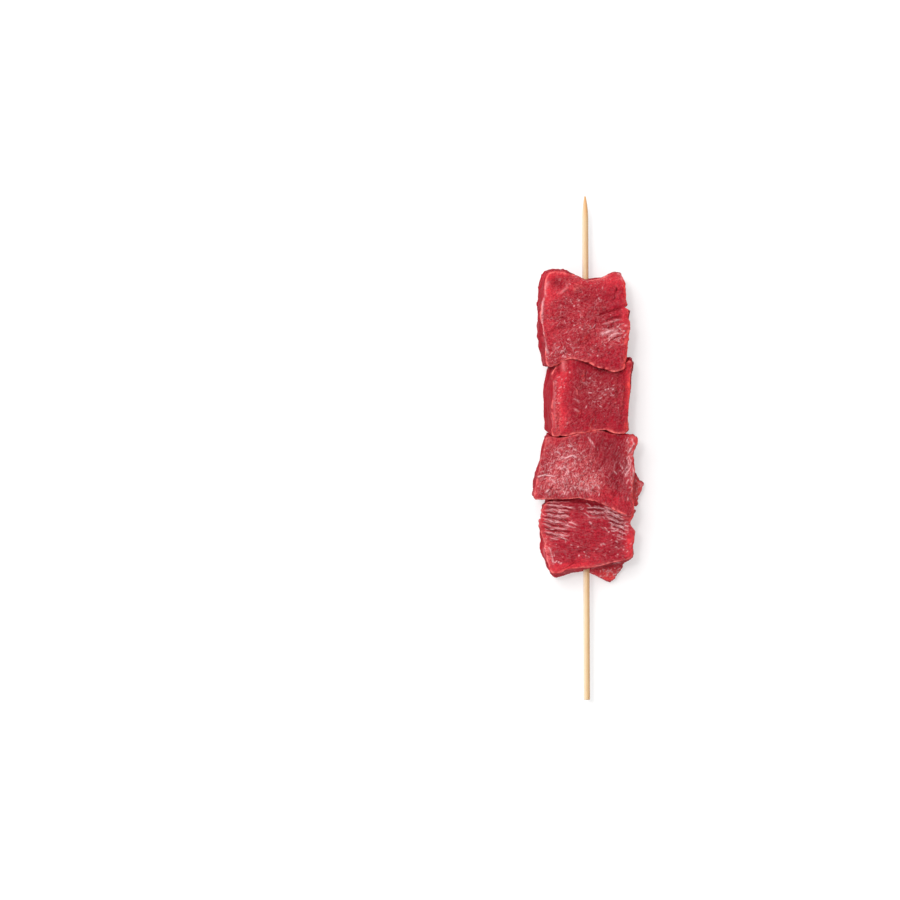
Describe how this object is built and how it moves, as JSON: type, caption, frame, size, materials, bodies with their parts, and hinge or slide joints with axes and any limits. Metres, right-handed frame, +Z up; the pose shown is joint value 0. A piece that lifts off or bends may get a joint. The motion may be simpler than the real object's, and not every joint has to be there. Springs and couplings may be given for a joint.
{
  "type": "beef kebab skewer",
  "caption": "Raw beef cubes of uneven cut pressed close together on a round, pointed bamboo stick, lying flat.",
  "frame": {"origin": "on the surface that the cubes rest on, straight below the middle of the stick, inside the flat underside of beef_3", "axes": "+Y along the stick towards its point, +Z up away from the surface, +X to the right when seen from above with the point at the far end"},
  "size_m": [0.0432, 0.2, 0.0276],
  "materials": {
    "raw_beef": "moist raw beef, deep pinkish red with fine fibres, paler cut edges and a broken wet shine",
    "bamboo": "plain pale bamboo, fine grain along its length, darker at the point"
  },
  "bodies": {
    "root": {"skewer": "bamboo", "beef_1": "raw_beef", "beef_2": "raw_beef", "beef_3": "raw_beef", "beef_4": "raw_beef"}
  },
  "joints": []
}
